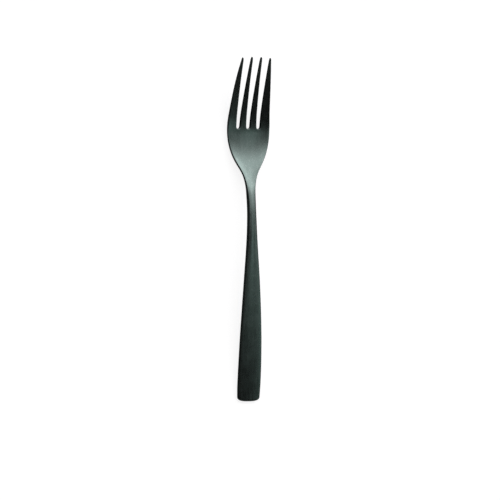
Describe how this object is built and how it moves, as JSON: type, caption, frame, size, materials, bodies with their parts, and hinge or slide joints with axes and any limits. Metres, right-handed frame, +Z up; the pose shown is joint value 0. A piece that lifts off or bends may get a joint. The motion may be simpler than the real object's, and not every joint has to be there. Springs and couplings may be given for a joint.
{
  "type": "dinner fork",
  "caption": "Dinner fork with slender upswept tines, a shallow dished palm, a narrow rounded neck and a gently arched handle that widens to a softly rounded end.",
  "frame": {"origin": "on the table under the middle of the fork's length and width, with the fork lying on its heel, the last stretch of the handle, and on the underside of its palm", "axes": "+Y along the fork towards the tips of the tines, +X across it to the right seen from above with the tines away, +Z up out of the hollow side of the palm"},
  "size_m": [0.0262, 0.2048, 0.0202],
  "materials": {
    "dark_satin_steel": "stainless steel with a dark grey, faintly green satin coating over the whole surface"
  },
  "bodies": {
    "root": {"fork": "dark_satin_steel"}
  },
  "joints": []
}
